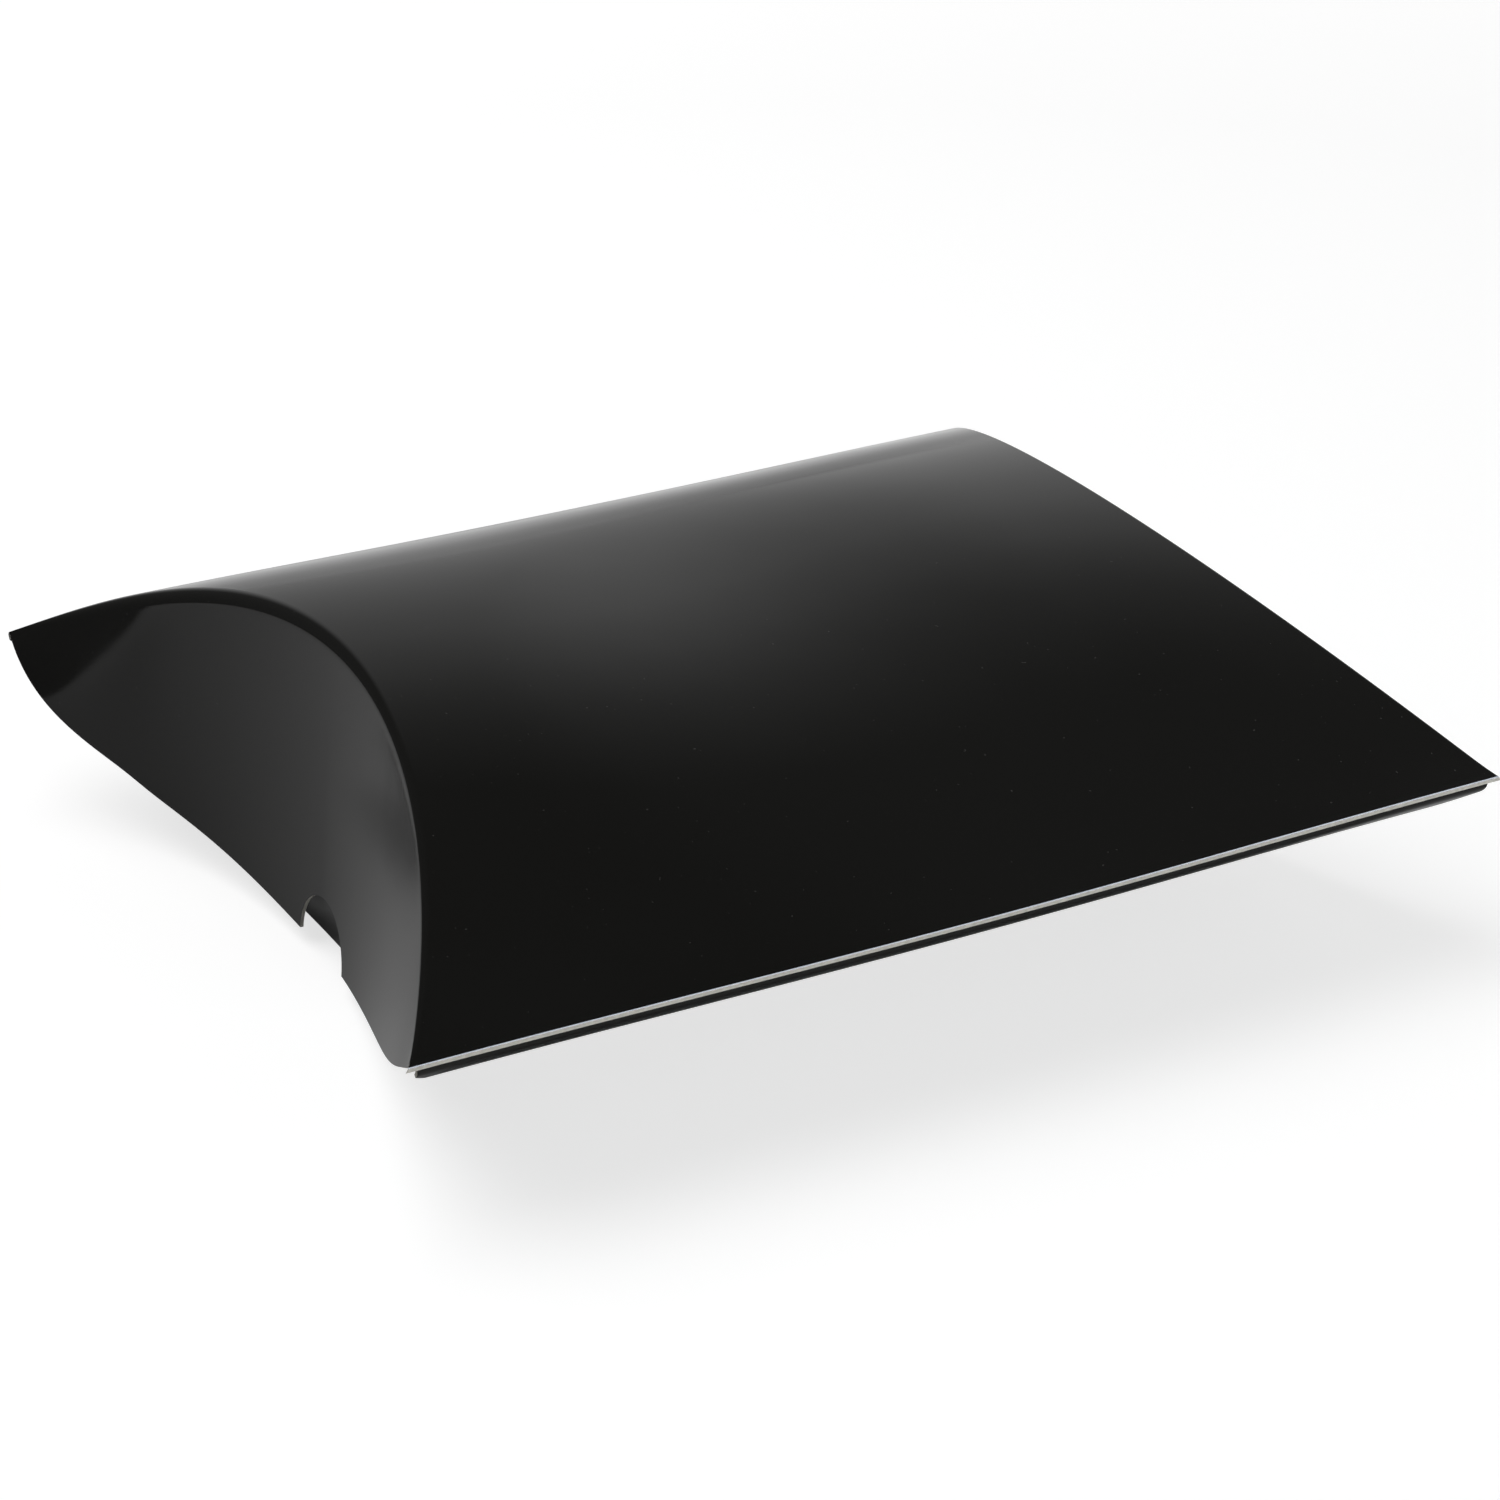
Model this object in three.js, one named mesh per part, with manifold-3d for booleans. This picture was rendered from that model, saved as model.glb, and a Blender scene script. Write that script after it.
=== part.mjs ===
// Pillow box: two arched paperboard panels joined along their long edges, closed at each end by an
// outer flap and an inner flap that fold in over curved creases.
// X runs along the box, Y from the front edge to the back edge, Z up from the surface it lies on.

import * as THREE from 'three';
import Module from 'manifold-3d';

// Overall size in millimetres
const LENGTH = 147;
const WIDTH = 130;
const HEIGHT = 43;
const EDGE_SHARE = 0.5256;

// Board, folds and seam
const BOARD = 0.45;
const EDGE_FOLD_HEIGHT = 1.2;
const CREASE_RADIUS = 1.2;
const CREASE_FADE = 1.5;
const CREASE_END = 2.4;
const SCORE_GAP = 0.08;
const TAB_WIDTH = 14;
const TAB_TAPER = 9;
const TAB_START = 1.2;
const BOTTOM_START = 1.6;
const GLUE = 0.1;
const GLUE_GAP = 0.05;
const GLUE_MARGIN = 2;

// How the closed box is sprung out of its ideal shape
const TOP_SAG = 1.8;
const EDGE_BOW = 1;
const REST_FLATTENING = 0.25;

// Flaps
const FLAP_GAP = 0.3;
const FLAP_LIFT = 2;
const FLAP_LEAN = THREE.MathUtils.degToRad(5.2);
const FRONT_FLARE = THREE.MathUtils.degToRad(14);
const BACK_FLARE = THREE.MathUtils.degToRad(48);
const NOTCH_RADIUS = 7.2;
const INNER_FLAP_GAP = 1.2;

// Mesh steps
const LENGTH_STEPS = 16;
const WIDTH_STEPS = 36;
const FOLD_STEPS = 6;
const FLAP_STEPS = 4;

// Values that follow from the sizes
const HALF_LENGTH = LENGTH / 2;
const HALF_WIDTH = WIDTH / 2;
const EDGE_LEVEL = EDGE_SHARE * HEIGHT;
const TOP_EDGE = EDGE_LEVEL + EDGE_FOLD_HEIGHT / 2;
const BOTTOM_EDGE = EDGE_LEVEL - EDGE_FOLD_HEIGHT / 2;
const TOP_RISE = HEIGHT - TOP_EDGE;
const BOTTOM_DROP = BOTTOM_EDGE;
const CREASE_REACH = 1 - CREASE_END / HALF_WIDTH;

// Both panels are cut with the same crease, so at the middle the two insets agree
const BOTTOM_SLANT = TOP_RISE / BOTTOM_DROP;
const INNER_LEAN = Math.PI / 2 - 2 * Math.atan(BOTTOM_SLANT);

const { lerp } = THREE.MathUtils;
const point = (x, y, z) => new THREE.Vector3(x, y, z);

/** Evenly spaced values from start to end. */
function steps(start, end, count) {
  return Array.from({ length: count + 1 }, (_, i) => lerp(start, end, i / count));
}

/** Height of a circular arch over a chord of twice half, at distance y from its middle. */
function arch(rise, half, y) {
  const radius = (half * half + rise * rise) / (2 * rise);
  return Math.sqrt(Math.max(radius * radius - y * y, 0)) - (radius - rise);
}

/** Share of the mid-length spring at s, with no slope at the creases. */
const spring = (s) => Math.sin(Math.PI * s) ** 2;

/** Half the width between the long edges at s along the box. */
const halfWidth = (s) => HALF_WIDTH + EDGE_BOW * spring(s);

/** Rise of the top panel above its edge at the end creases, and so the inset of its curved crease. */
const topInset = (v) => arch(TOP_RISE, HALF_WIDTH, v * HALF_WIDTH);

/** Depth of the bottom panel below its edge, flattened along the strip that it rests on. */
function bottomDepth(half, y) {
  return Math.min(arch(BOTTOM_DROP + REST_FLATTENING, half, y), BOTTOM_DROP);
}

/** Inset of the bottom crease, which lies in a plane that leans with the inner flap. */
const bottomInset = (v) => BOTTOM_SLANT * bottomDepth(HALF_WIDTH, v * HALF_WIDTH);

/** Outer radius of a crease, closing to nothing where the inset runs out at the corners. */
const creaseRadius = (inset) => CREASE_RADIUS * (1 - Math.exp(-Math.max(inset, 0) / CREASE_FADE));

/** A panel's x at s along it, between the ends where the crease rolls begin. */
function panelX(inset, s) {
  const end = HALF_LENGTH - inset - creaseRadius(inset);
  return lerp(-end, end, s);
}

/** Outside of the top panel: an arch across Y, straight along X but for the sag. */
function topSkin(s, v) {
  const half = halfWidth(s);
  const z = TOP_EDGE + arch(TOP_RISE - TOP_SAG * spring(s), half, v * half);
  return point(panelX(topInset(v), s), v * half, z);
}

/** Outside of the bottom panel. */
function bottomSkin(s, v) {
  const half = halfWidth(s);
  return point(panelX(bottomInset(v), s), v * half, BOTTOM_EDGE - bottomDepth(half, v * half));
}

/** Direction in which a skin changes with its first (axis 0) or second (axis 1) value. */
function along(skin, s, v, axis) {
  const h = 1e-4;
  const ahead = axis === 0 ? skin(s + h, v) : skin(s, v + h);
  const behind = axis === 0 ? skin(s - h, v) : skin(s, v - h);
  return ahead.sub(behind).normalize();
}

/** The skin moved by depth to its inner side; turn is 1 or -1 for the side that the skin faces. */
function inward(skin, depth, turn) {
  return (s, v) => {
    const normal = along(skin, s, v, 0).cross(along(skin, s, v, 1)).normalize();
    return skin(s, v).addScaledVector(normal, -depth * turn);
  };
}

/** Closed board between two skins sampled on the same rows and columns. */
function board(outer, inner, rows, columns) {
  const corners = [];
  const faces = [];
  const wide = columns.length;
  const layer = rows.length * wide;
  for (const skin of [outer, inner]) {
    rows.forEach((s) => columns.forEach((v) => corners.push(skin(s, v))));
  }
  const quad = (a, b, c, d) => faces.push(a, b, c, a, c, d);
  for (let i = 0; i + 1 < rows.length; i += 1) {
    for (let j = 0; j + 1 < wide; j += 1) {
      const a = i * wide + j;
      quad(a, a + wide, a + wide + 1, a + 1);
      quad(layer + a, layer + a + 1, layer + a + wide + 1, layer + a + wide);
    }
  }
  const rim = (a, b) => quad(a, b, layer + b, layer + a);
  const last = (rows.length - 1) * wide;
  for (let j = 0; j + 1 < wide; j += 1) {
    rim(j, j + 1);
    rim(last + j + 1, last + j);
  }
  for (let i = 0; i + 1 < rows.length; i += 1) {
    rim((i + 1) * wide, i * wide);
    rim(i * wide + wide - 1, (i + 1) * wide + wide - 1);
  }
  const geometry = new THREE.BufferGeometry().setFromPoints(corners);
  geometry.setIndex(faces);
  return facingOut(geometry);
}

/** Turns every triangle round. */
function reversed(geometry) {
  const index = geometry.getIndex().array;
  for (let i = 0; i < index.length; i += 3) {
    [index[i + 1], index[i + 2]] = [index[i + 2], index[i + 1]];
  }
  return geometry;
}

/** The same closed surface with its triangles facing out. */
function facingOut(geometry) {
  const position = geometry.getAttribute('position');
  const index = geometry.getIndex().array;
  const at = (i) => new THREE.Vector3().fromBufferAttribute(position, index[i]);
  let volume = 0;
  for (let i = 0; i < index.length; i += 3) {
    volume += at(i).dot(at(i + 1).cross(at(i + 2)));
  }
  return volume < 0 ? reversed(geometry) : geometry;
}

/** Where two lines in the YZ plane meet, at the x of the first. */
function meet(start, direction, other, otherDirection) {
  const cross = direction.y * otherDirection.z - direction.z * otherDirection.y;
  const dy = other.y - start.y;
  const dz = other.z - start.z;
  const reach = (dy * otherDirection.z - dz * otherDirection.y) / cross;
  return point(start.x, start.y + direction.y * reach, start.z + direction.z * reach);
}

/** Rolled strip along a long edge, from the edge of one skin to the edge of another. */
function edgeFold(first, firstV, second, secondV, side) {
  const curve = (s) => {
    const start = first(s, firstV);
    const end = second(s, secondV);
    const from = along(first, s, firstV, 1).multiplyScalar(side);
    const to = along(second, s, secondV, 1).multiplyScalar(side);
    return new THREE.QuadraticBezierCurve3(start, meet(start, from, end, to), end);
  };
  return (s, t) => curve(s).getPoint(t);
}

// Panels, long folds and seam

const topInside = inward(topSkin, BOARD, 1);
const bottomInside = inward(bottomSkin, BOARD, -1);
const lengthRows = steps(0, 1, LENGTH_STEPS);
const creaseRows = steps(-CREASE_REACH, CREASE_REACH, WIDTH_STEPS);
const bottomFront = -1 + BOTTOM_START / HALF_WIDTH;
const tabFront = -1 + TAB_START / HALF_WIDTH;
const tabBack = -1 + TAB_WIDTH / HALF_WIDTH;
const foldColumns = steps(SCORE_GAP / EDGE_FOLD_HEIGHT, 1 - SCORE_GAP / EDGE_FOLD_HEIGHT, FOLD_STEPS);

function topPanel() {
  return board(topSkin, topInside, lengthRows, [-1, ...creaseRows, 1]);
}

function bottomPanel() {
  return board(bottomSkin, bottomInside, lengthRows, [bottomFront, ...creaseRows, 1]);
}

function backFold() {
  const outer = edgeFold(topSkin, 1, bottomSkin, 1, 1);
  const inner = edgeFold(topInside, 1, bottomInside, 1, 1);
  return board(outer, inner, lengthRows, foldColumns);
}

/** Layer inside the top panel by depth, its ends tapering away from the front edge. */
function tabLayer(depth, margin) {
  const layer = inward(topSkin, depth, 1);
  return (s, v) => {
    const taper = TAB_TAPER * (v - tabFront) / (tabBack - tabFront);
    const end = (topInset(v) + taper + margin) / LENGTH;
    return layer(lerp(end, 1 - end, s), v);
  };
}

const tabDepth = BOARD + GLUE + 2 * GLUE_GAP;

function seamTab() {
  const outer = tabLayer(tabDepth, CREASE_END);
  const inner = tabLayer(tabDepth + BOARD, CREASE_END);
  const columns = steps(tabFront + GLUE_GAP / HALF_WIDTH, tabBack, FOLD_STEPS);
  return board(outer, inner, lengthRows, columns);
}

function seamGlue() {
  const edge = GLUE_MARGIN / HALF_WIDTH;
  const near = BOARD + GLUE_GAP;
  const margin = CREASE_END + GLUE_MARGIN;
  const columns = steps(tabFront + edge, tabBack - edge, FOLD_STEPS);
  return board(tabLayer(near, margin), tabLayer(near + GLUE, margin), lengthRows, columns);
}

function frontFold() {
  const tabOutside = inward(topSkin, tabDepth, 1);
  const tabInside = inward(topSkin, tabDepth + BOARD, 1);
  const outer = edgeFold(tabOutside, tabFront, bottomSkin, bottomFront, -1);
  const inner = edgeFold(tabInside, tabFront, bottomInside, bottomFront, -1);
  return board(outer, inner, lengthRows, foldColumns);
}

// Left end: each crease rolls from its panel into a flap that mirrors the panel's arch

/** Point of the roll over the top crease; 90 degrees on the panel, 180 where a flap hangs upright. */
function topRoll(v, angle) {
  const inset = topInset(v);
  const radius = creaseRadius(inset);
  const x = -HALF_LENGTH + inset + radius + radius * Math.cos(angle);
  return point(x, v * HALF_WIDTH, TOP_EDGE + inset - radius + radius * Math.sin(angle));
}

/** Point of the roll over the bottom crease; 270 degrees on the panel, 180 where a flap stands upright. */
function bottomRoll(v, angle) {
  const inset = bottomInset(v);
  const radius = creaseRadius(inset);
  const x = -HALF_LENGTH + inset + radius + radius * Math.cos(angle);
  const low = BOTTOM_EDGE - inset / BOTTOM_SLANT;
  return point(x, v * HALF_WIDTH, low + radius + radius * Math.sin(angle));
}

const SCORE_ANGLE = SCORE_GAP / CREASE_RADIUS;

/** How far the outer flap leans out at v: its tips spring out, the back one further than the front one. */
const flapLean = (v) => FLAP_LEAN + (v < 0 ? FRONT_FLARE * (-v) ** 1.5 : BACK_FLARE * v ** 4);

/** Angle halfway round the top roll, where the carton's crease ends and the flap begins. */
const topMitre = (v) => 0.75 * Math.PI - flapLean(v) / 2;
const bottomMitre = 1.25 * Math.PI - INNER_LEAN / 2;

function outerCrease() {
  const skin = (v, t) => topRoll(v, lerp(Math.PI / 2 + SCORE_ANGLE, topMitre(v), t));
  return board(skin, inward(skin, BOARD, 1), creaseRows, steps(0, 1, FOLD_STEPS / 2));
}

function innerCrease() {
  const angles = steps(1.5 * Math.PI - SCORE_ANGLE, bottomMitre, FOLD_STEPS / 2);
  return board(bottomRoll, inward(bottomRoll, BOARD, 1), creaseRows, angles);
}

/** Outside of the outer flap: q from 0 to 1 is its half of the roll, from 1 to 2 its straight fall. */
function outerFlapSkin(v, q) {
  const inset = topInset(v);
  const lean = flapLean(v);
  const last = Math.PI - lean;
  const first = Math.min(topMitre(v) + FLAP_GAP / creaseRadius(inset), last);
  const fall = (HEIGHT - FLAP_LIFT) / Math.cos(FLAP_LEAN) * inset / TOP_RISE - creaseRadius(inset);
  const bend = topRoll(v, lerp(first, last, Math.min(q, 1)));
  const down = fall * Math.max(q - 1, 0);
  return bend.add(point(-Math.sin(lean) * down, 0, -Math.cos(lean) * down));
}

function outerFlap() {
  const columns = [...steps(0, 1, FOLD_STEPS / 2), ...steps(1, 2, FLAP_STEPS).slice(1)];
  const flap = board(outerFlapSkin, inward(outerFlapSkin, BOARD, 1), creaseRows, columns);
  const notch = new THREE.CylinderGeometry(NOTCH_RADIUS, NOTCH_RADIUS, LENGTH / 4, 48);
  notch.rotateZ(Math.PI / 2);
  const edge = outerFlapSkin(0, 2);
  notch.translate(edge.x, 0, edge.z);
  return cut(flap, notch);
}

/** Highest level that the inner flap may reach at v and still swing in under the top panel. */
function innerFlapTop(v) {
  const pivot = CREASE_RADIUS;
  const ceiling = TOP_EDGE + topInset(v) - BOARD - INNER_FLAP_GAP - pivot;
  const outset = bottomInset(0) - bottomInset(v) + pivot;
  return pivot + Math.sqrt(Math.max(ceiling * ceiling - outset * outset, 0));
}

/** Height of the inner flap above its roll at v. */
const innerFlapRise = (v) => innerFlapTop(v) - bottomRoll(v, Math.PI - INNER_LEAN).z;

/** Outside of the inner flap, its half of the roll and then its straight rise. */
function innerFlapSkin(v, q) {
  const radius = creaseRadius(bottomInset(v));
  const first = bottomMitre - FLAP_GAP / radius;
  const bend = bottomRoll(v, lerp(first, Math.PI - INNER_LEAN, Math.min(q, 1)));
  const up = innerFlapRise(v) * Math.max(q - 1, 0);
  return bend.add(point(Math.tan(INNER_LEAN) * up, 0, up));
}

/** How far from the middle the inner flap still stands a board's strip high. */
function innerFlapReach() {
  const stands = (v) => innerFlapRise(v) > 4 * BOARD;
  return Math.max(...steps(0, CREASE_REACH, 400).filter(stands));
}

function innerFlap() {
  const reach = innerFlapReach();
  const rows = steps(-reach, reach, WIDTH_STEPS);
  const columns = [...steps(0, 1, FOLD_STEPS / 2), ...steps(1, 2, FLAP_STEPS).slice(1)];
  return board(innerFlapSkin, inward(innerFlapSkin, BOARD, -1), rows, columns);
}

// Cutting

const wasm = await Module();
wasm.setup();

/** A closed surface as a solid for cutting. */
function solid(geometry) {
  const position = geometry.getAttribute('position').array;
  const mesh = new wasm.Mesh({
    numProp: 3,
    vertProperties: new Float32Array(position),
    triVerts: new Uint32Array(geometry.getIndex().array),
  });
  mesh.merge();
  return new wasm.Manifold(mesh);
}

/** The first surface with the second taken away. */
function cut(geometry, tool) {
  const mesh = solid(geometry).subtract(solid(tool)).getMesh();
  const result = new THREE.BufferGeometry();
  result.setAttribute('position', new THREE.BufferAttribute(mesh.vertProperties, 3));
  result.setIndex(new THREE.BufferAttribute(mesh.triVerts, 1));
  return result;
}

// Assembly

/** Mirror image for the other end of the box. */
function mirrored(geometry) {
  return reversed(geometry.clone().scale(-1, 1, 1));
}

const gloss = { color: 0x1a1a19, roughness: 0.22, metalness: 0 };
const adhesive = { color: 0xe6dfcf, roughness: 0.6, metalness: 0 };

function piece(name, geometry, finish) {
  const mesh = new THREE.Mesh(geometry, new THREE.MeshStandardMaterial(finish));
  mesh.name = name;
  geometry.computeVertexNormals();
  return mesh;
}

function pillowBox() {
  const box = new THREE.Group();
  box.name = 'pillow_box';
  const fixed = {
    top_panel: topPanel(),
    bottom_panel: bottomPanel(),
    back_fold: backFold(),
    front_fold: frontFold(),
    seam_tab: seamTab(),
  };
  const end = {
    outer_crease: outerCrease(),
    inner_crease: innerCrease(),
    outer_flap: outerFlap(),
    inner_flap: innerFlap(),
  };
  for (const [name, geometry] of Object.entries(fixed)) {
    box.add(piece(name, geometry, gloss));
  }
  box.add(piece('seam_glue', seamGlue(), adhesive));
  for (const [name, geometry] of Object.entries(end)) {
    box.add(piece(`left_${name}`, geometry, gloss));
    box.add(piece(`right_${name}`, mirrored(geometry), gloss));
  }
  centreAcross(box);
  return box;
}

/** Moves every piece along Y so that the box is centred on X. */
function centreAcross(box) {
  const bounds = new THREE.Box3().setFromObject(box);
  const shift = -(bounds.min.y + bounds.max.y) / 2;
  box.children.forEach((mesh) => mesh.geometry.translate(0, shift, 0));
}

export default pillowBox();
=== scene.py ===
"""Glossy black pillow box: numpy surfaces over the CAD frame, with a plain white studio round it."""

import math
from functools import partial

import bpy
import numpy as np
from bpy.props import FloatProperty, FloatVectorProperty, IntProperty, PointerProperty
from mathutils import Matrix, Vector


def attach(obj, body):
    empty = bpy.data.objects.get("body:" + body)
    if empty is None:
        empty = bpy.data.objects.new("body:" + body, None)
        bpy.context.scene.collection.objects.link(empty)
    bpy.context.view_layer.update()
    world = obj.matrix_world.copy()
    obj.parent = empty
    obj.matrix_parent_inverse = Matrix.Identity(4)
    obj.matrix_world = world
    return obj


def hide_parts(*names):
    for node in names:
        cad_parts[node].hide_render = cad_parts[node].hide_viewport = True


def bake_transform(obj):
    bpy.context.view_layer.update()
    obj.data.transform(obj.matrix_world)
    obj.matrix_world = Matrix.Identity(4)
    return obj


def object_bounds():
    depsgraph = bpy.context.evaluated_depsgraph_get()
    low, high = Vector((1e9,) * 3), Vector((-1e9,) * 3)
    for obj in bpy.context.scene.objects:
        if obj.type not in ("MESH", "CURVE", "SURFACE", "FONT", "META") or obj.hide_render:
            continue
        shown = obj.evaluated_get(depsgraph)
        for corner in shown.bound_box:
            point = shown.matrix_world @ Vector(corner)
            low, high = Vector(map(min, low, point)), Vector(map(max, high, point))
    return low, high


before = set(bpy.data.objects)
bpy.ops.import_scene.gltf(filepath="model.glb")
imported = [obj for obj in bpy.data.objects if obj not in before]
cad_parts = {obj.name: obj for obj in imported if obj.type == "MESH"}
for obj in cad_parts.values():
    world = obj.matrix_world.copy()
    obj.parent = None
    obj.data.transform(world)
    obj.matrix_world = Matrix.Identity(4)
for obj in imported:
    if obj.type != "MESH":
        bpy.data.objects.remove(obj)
CAD_LOW, CAD_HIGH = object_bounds()

bl_info = {
    "name": "Pillow Box",
    "version": (1, 0, 0),
    "blender": (4, 5, 0),
    "location": "View3D > Sidebar > Pillow Box",
    "description": "Builds a glossy carton with arched panels and curved-crease end flaps",
    "category": "Add Mesh",
}

# Half the step over which a slope is measured
SLOPE_STEP = 1e-4
# Share of a flap's fall that stands in for none, so that nothing is divided by zero
SMALLEST_FALL = 1e-4
# Number of places at which the inner flap's height is tried
REACH_TRIES = 400
# Edges sharper than this are not shaded smooth
SHARP_ANGLE = math.radians(35)
# Names of the two ends, with the sign of X there
ENDS = {"left": -1, "right": 1}

# Places of the materials in a board's list
FILM, INSIDE, CUT = 0, 1, 2
# Materials of a board's four sides: first row, last row, first column and last column
PLAIN_RIM = (FILM, FILM, FILM, FILM)
TOP_RIM = (FILM, FILM, CUT, FILM)
FRONT_FOLD_RIM = (CUT, CUT, FILM, FILM)
FLAP_RIM = (CUT, CUT, FILM, CUT)


# Properties


def number(name, default, description, unit="NONE"):
    """A plain number, or one with a unit."""
    return FloatProperty(name=name, description=description, default=default, unit=unit)


def metres(name, default, description):
    """A size in metres."""
    return FloatProperty(
        name=name, description=description, default=default, unit="LENGTH", subtype="DISTANCE", precision=5
    )


def degrees(name, default, description):
    """An angle, given in degrees and kept in radians."""
    return FloatProperty(
        name=name, description=description, default=math.radians(default), unit="ROTATION", subtype="ANGLE"
    )


def steps(name, default, description):
    """A number of mesh steps."""
    return IntProperty(name=name, description=description, default=default, min=1)


def colour(name, default, description):
    """A linear colour."""
    return FloatVectorProperty(
        name=name, description=description, default=default, subtype="COLOR", size=3, min=0, max=1
    )


class PillowBoxSizes(bpy.types.PropertyGroup):
    """Sizes of the folded carton."""

    length: metres("Length", 0.147, "From corner to corner along the box")
    width: metres("Width", 0.130, "Between the long edges at the ends")
    height: metres("Height", 0.043, "From the surface to the crown of the top panel")
    edge_share: number("Edge share", 0.5256, "Share of the height that lies below the long edges")
    board: metres("Board", 0.00045, "Thickness of the paperboard")
    edge_fold: metres("Edge fold", 0.0012, "Height of the rolled long edges")
    edge_round: metres("Edge round", 0.00012, "Radius of the pressed corner of the front cut edge")
    edge_turn: number("Edge turn", 0.9, "Sine of the angle through which that corner is rounded")
    crease_radius: metres("Crease radius", 0.0012, "Outer radius of the curved creases")
    crease_fade: metres("Crease fade", 0.0015, "Inset over which a crease opens from a corner")
    crease_opening: number("Crease opening", 1.3, "Growth of the left crease's radius per half width")
    opening_start: number("Opening start", -0.3, "Where that growth begins, in half widths")
    crisp_share: number("Crisp share", 0.4, "Right and bottom creases' radius as a share of the plain one")
    crease_end: metres("Crease end", 0.0005, "Distance from a corner at which a flap begins")
    top_sag: metres("Top sag", 0.0018, "How far the top panel dips at mid-length")
    edge_bow: metres("Edge bow", 0.001, "How far the long edges bow out at mid-length")
    rest_flattening: metres("Rest flattening", 0.00025, "How far the rest strip flattens the arch")
    tab_width: metres("Tab width", 0.014, "Distance of the seam tab's inner edge from the front edge")
    tab_taper: metres("Tab taper", 0.009, "How far the tab's ends slope in")
    tab_start: metres("Tab start", 0.0012, "Setback of the tab from the front edge")
    bottom_start: metres("Bottom start", 0.0016, "Setback of the bottom panel from the front edge")
    glue: metres("Glue", 0.0001, "Thickness of the seam glue")
    glue_gap: metres("Glue gap", 0.00005, "Hairline gap on each side of the glue")
    glue_margin: metres("Glue margin", 0.002, "Distance of the glue from the tab's edges")
    flap_lift: metres("Flap lift", 0.002, "Height of the outer flap's free edge at its middle")
    flap_lean: degrees("Flap lean", 5.2, "How far the outer flap leans out at its middle")
    front_flare: degrees("Front flare", 14, "How much further it leans out at its front end")
    front_curve: number("Front curve", 1.5, "Power of v by which the front flare grows")
    back_flare: degrees("Back flare", 31.4, "How much further it leans out at its back end")
    back_curve: number("Back curve", 4.5, "Power of v by which the back flare grows")
    back_growth: number("Back growth", 0.45, "Share by which the outer flap is longer at its back end")
    growth_curve: number("Growth curve", 4, "Power of v by which the back growth sets in")
    corner_bend: degrees("Corner bend", 13.5, "How sharply the outer flap bends across its back corner")
    bend_start: number("Bend start", 0.64, "Where that bend leaves the crease, in half widths")
    bend_end: number("Bend end", 0.86, "Where that bend meets the free edge, in half widths")
    bend_softness: number("Bend softness", 0.026, "How far that bend is spread, in half widths")
    notch_radius: metres("Notch radius", 0.0072, "Radius of the half-round thumb notch")
    notch_setoff: metres("Notch setoff", 0.0012, "How far the notch lies in front of the middle")
    inner_flap_gap: metres("Inner flap gap", 0.0012, "Clearance of the inner flap under the top panel")
    inner_flap_tip: metres("Inner flap tip", 0.0018, "Least height of the inner flap at its two ends")
    blend_start: metres("Blend start", 0.0009, "Distance from a crease at which a flap begins to bend")
    blend_reach: metres("Blend reach", 0.011, "Distance from a crease over which a flap bends")
    across: steps("Steps across", 160, "Mesh steps from front to back")
    along: steps("Steps along", 120, "Mesh steps from end to end")
    around: steps("Steps around", 12, "Mesh steps round a fold")
    down: steps("Steps down", 40, "Mesh steps down a flap")
    notch_steps: steps("Notch steps", 48, "Mesh steps round a thumb notch")

    @property
    def half_width(self):
        return self.width / 2

    @property
    def top_edge(self):
        """Level of the top panel's long edges."""
        return self.edge_share * self.height + self.edge_fold / 2

    @property
    def bottom_edge(self):
        """Level of the bottom panel's long edges."""
        return self.edge_share * self.height - self.edge_fold / 2

    @property
    def top_rise(self):
        return self.height - self.top_edge

    @property
    def crease_reach(self):
        """Largest v that a flap reaches."""
        return 1 - self.crease_end / self.half_width

    @property
    def bottom_slant(self):
        """Inset of the bottom crease as a share of its depth, so that both creases reach equally far in."""
        return self.top_rise / self.bottom_edge

    @property
    def inner_lean(self):
        """Lean of the inner flap: the bottom panel reflected in the plane of its crease."""
        return math.pi / 2 - 2 * math.atan(self.bottom_slant)

    @property
    def flap_depth(self):
        """Length of the outer flap at its middle, from the crown to the free edge."""
        return (self.height - self.flap_lift) / math.cos(self.flap_lean)

    @property
    def tab_depth(self):
        """Depth of the tab's outside below the top panel's outside."""
        return self.board + self.glue + 2 * self.glue_gap

    @property
    def tab_front(self):
        return self.from_front(self.tab_start)

    @property
    def tab_back(self):
        return self.from_front(self.tab_width)

    @property
    def bottom_front(self):
        return self.from_front(self.bottom_start)

    def from_front(self, distance):
        """Value of v at a distance from the front edge."""
        return -1 + distance / self.half_width


class PillowBoxFinish(bpy.types.PropertyGroup):
    """Colours of the board and of the studio."""

    film: colour("Film", (0.0068, 0.0067, 0.006), "Black print under the gloss film")
    film_roughness: FloatProperty(
        name="Film roughness", description="Roughness of the gloss film", default=0.09, min=0, max=1
    )
    dust: colour("Dust", (0.036, 0.036, 0.034), "Dust specks on the film")
    raw_edge: colour("Raw edge", (0.70, 0.68, 0.615), "Cut edge of the board")
    inside: colour("Inside", (0.60, 0.58, 0.53), "Unprinted inner face of the board")
    glue: colour("Glue", (0.78, 0.73, 0.62), "Dried seam glue")
    floor: colour("Floor", (0.42, 0.42, 0.42), "Studio floor")
    glow: colour("Glow", (1, 1, 1), "Glow of the floor and the backdrop")
    dark_side: colour("Dark side", (0.07, 0.07, 0.07), "Left side of the studio")
    gleam: colour("Gleam", (0.82, 0.88, 1.0), "Lamp that the front edge mirrors")


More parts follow.
